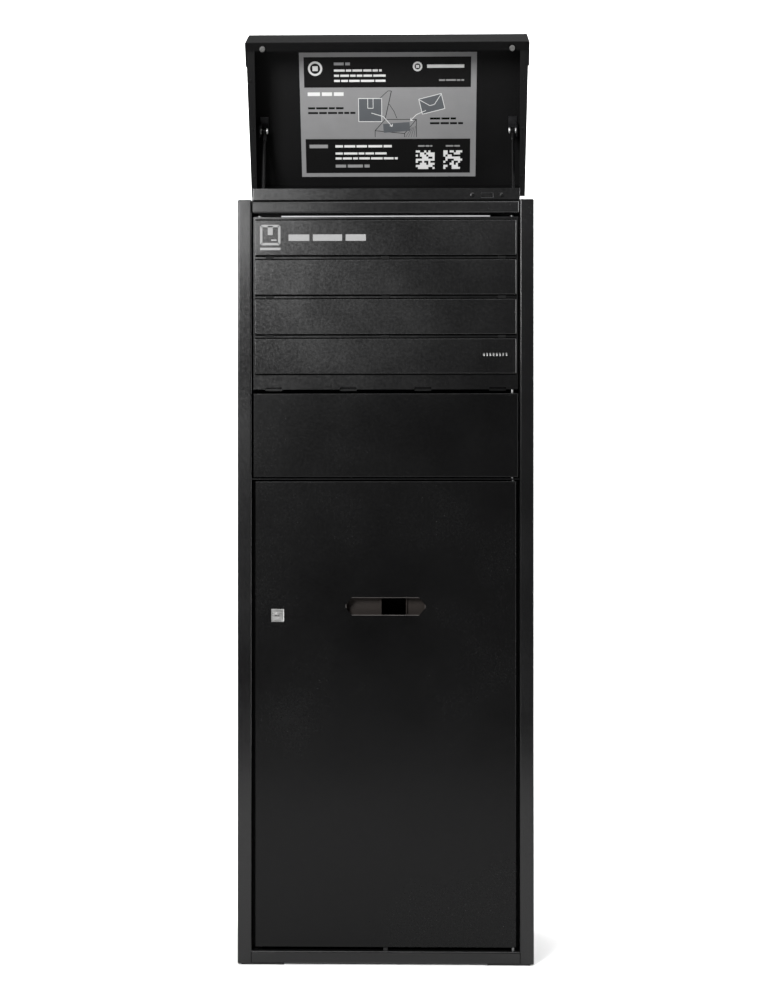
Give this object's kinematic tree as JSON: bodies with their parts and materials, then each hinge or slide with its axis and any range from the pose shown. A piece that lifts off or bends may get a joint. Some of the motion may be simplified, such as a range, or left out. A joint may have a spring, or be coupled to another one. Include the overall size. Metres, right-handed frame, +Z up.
{
  "type": "parcel locker",
  "caption": "Free-standing steel locker with a lift-up lid, a letter compartment behind a small door and a tall parcel compartment behind a keyed door.",
  "frame": {"origin": "on the floor, at the centre of the four anchor holes in the base", "axes": "+X to the viewer's right, +Y to the rear, +Z up; the doors face -Y"},
  "size_m": [0.463, 0.3029, 1.4947],
  "materials": {
    "black_plastic": "moulded, finely grained",
    "black_rubber": "soft matt rubber",
    "case_plastic": "moulded housing",
    "casing_paint": "fine textured powder coat, semi-matt",
    "dark_steel": "black oxide",
    "door_paint": "fine textured powder coat, semi-matt",
    "fascia_paint": "fine textured powder coat, semi-matt",
    "grey_rubber": "grey rubber",
    "grip_plastic": "warm brown moulding",
    "hinge_paint": "powder coat, worn at the knuckles",
    "inner_paint": "thin matt powder coat",
    "label_vinyl": "printed vinyl sheet",
    "lid_paint": "fine textured powder coat, semi-matt",
    "lock_chrome": "satin chrome",
    "stay_black": "smooth black lacquer",
    "trim_grey": "pale extrusion",
    "zinc_steel": "bright zinc plate"
  },
  "bodies": {
    "cabinet": {"side_casing_left": "casing_paint", "side_casing_right": "casing_paint", "back_panel": "casing_paint", "base_tray": "casing_paint", "foot_pads": "black_rubber", "liner_left": "inner_paint", "liner_right": "inner_paint", "chute_partition": "inner_paint", "letter_floor": "casing_paint", "header_rail": "casing_paint", "rim_strip": "casing_paint", "fascia_backing": "fascia_paint", "fascia_slat_1": "fascia_paint", "fascia_slat_2": "fascia_paint", "fascia_slat_3": "fascia_paint", "fascia_slat_4": "fascia_paint", "slat_clips": "black_plastic", "fascia_hooks": "fascia_paint", "edge_strip": "trim_grey", "door_pins": "zinc_steel", "door_stop": "black_rubber", "lid_latch_case": "case_plastic", "letter_latch_case": "case_plastic", "parcel_latch_case": "case_plastic", "control_unit": "case_plastic", "battery_pack": "case_plastic", "cabinet_hinge_leaves": "hinge_paint", "lid_hinge_pins": "zinc_steel", "stay_anchors": "dark_steel", "rear_screws": "dark_steel", "hinge_screws": "dark_steel", "rim_screws": "dark_steel"},
    "lid": {"lid_shell": "lid_paint", "lid_front_cap": "lid_paint", "lid_label": "label_vinyl", "lid_buffers": "grey_rubber", "lid_rivets": "dark_steel", "lid_hinge_leaves": "hinge_paint", "stay_brackets": "dark_steel", "stay_studs": "zinc_steel"},
    "letter_door": {"letter_door_panel": "door_paint", "letter_keeper": "zinc_steel"},
    "parcel_door": {"parcel_door_panel": "door_paint", "door_stiffeners": "inner_paint", "door_gasket": "black_rubber", "grip_cup": "grip_plastic", "lock_escutcheon": "lock_chrome", "lock_barrel": "lock_chrome", "lock_nut": "zinc_steel", "parcel_keeper": "zinc_steel"},
    "lock_core": {"lock_plug": "lock_chrome", "lock_cam": "zinc_steel", "cam_screw": "zinc_steel"},
    "lid_bolt": {"lid_latch_bolt": "zinc_steel"},
    "letter_bolt": {"letter_latch_bolt": "zinc_steel"},
    "parcel_bolt": {"parcel_latch_bolt": "zinc_steel"},
    "stay_rod_l": {"stay_rod_left": "stay_black"},
    "stay_rod_r": {"stay_rod_right": "stay_black"},
    "stay_tube_l": {"stay_tube_left": "stay_black"},
    "stay_tube_r": {"stay_tube_right": "stay_black"}
  },
  "joints": [
    {"name": "lid_hinge", "type": "hinge", "parent": "cabinet", "child": "lid", "pos_m": [0, 0.1445, 1.227], "axis": [1, 0, 0], "range_deg": [0, 65.77]},
    {"name": "letter_door_hinge", "type": "hinge", "parent": "cabinet", "child": "letter_door", "pos_m": [0.1968, -0.124, 0.8216], "axis": [0, 0, 1], "range_deg": [0, 100]},
    {"name": "parcel_door_hinge", "type": "hinge", "parent": "cabinet", "child": "parcel_door", "pos_m": [0.1978, -0.123, 0.389], "axis": [0, 0, 1], "range_deg": [0, 105]},
    {"name": "lock_turn", "type": "hinge", "parent": "parcel_door", "child": "lock_core", "pos_m": [-0.1676, -0.12, 0.5422], "axis": [0, -1, 0], "range_deg": [0, 90]},
    {"name": "lid_bolt_slide", "type": "slide", "parent": "cabinet", "child": "lid_bolt", "axis": [0, -1, 0], "range_m": [0, 0.015]},
    {"name": "letter_bolt_slide", "type": "slide", "parent": "cabinet", "child": "letter_bolt", "axis": [1, 0, 0], "range_m": [0, 0.009]},
    {"name": "parcel_bolt_slide", "type": "slide", "parent": "cabinet", "child": "parcel_bolt", "axis": [1, 0, 0], "range_m": [0, 0.009]},
    {"name": "stay_pivot_l", "type": "hinge", "parent": "lid", "child": "stay_rod_l", "pos_m": [-0.209, 0.10604, 1.34293], "axis": [1, 0, 0], "range_deg": [-45.08, 0]},
    {"name": "stay_slide_l", "type": "slide", "parent": "stay_rod_l", "child": "stay_tube_l", "axis": [0, 0.1606, 0.987], "range_m": [0, 0.10387]},
    {"name": "stay_pivot_r", "type": "hinge", "parent": "lid", "child": "stay_rod_r", "pos_m": [0.209, 0.10604, 1.34293], "axis": [1, 0, 0], "range_deg": [-45.08, 0]},
    {"name": "stay_slide_r", "type": "slide", "parent": "stay_rod_r", "child": "stay_tube_r", "axis": [0, 0.1606, 0.987], "range_m": [0, 0.10387]}
  ],
  "couplings": [
    {"joint": "stay_pivot_l", "follows": "lid_hinge", "ratio": -0.6824},
    {"joint": "stay_slide_l", "follows": "lid_hinge", "m_per_rad": 0.090054},
    {"joint": "stay_pivot_r", "follows": "lid_hinge", "ratio": -0.6824},
    {"joint": "stay_slide_r", "follows": "lid_hinge", "m_per_rad": 0.090054}
  ]
}
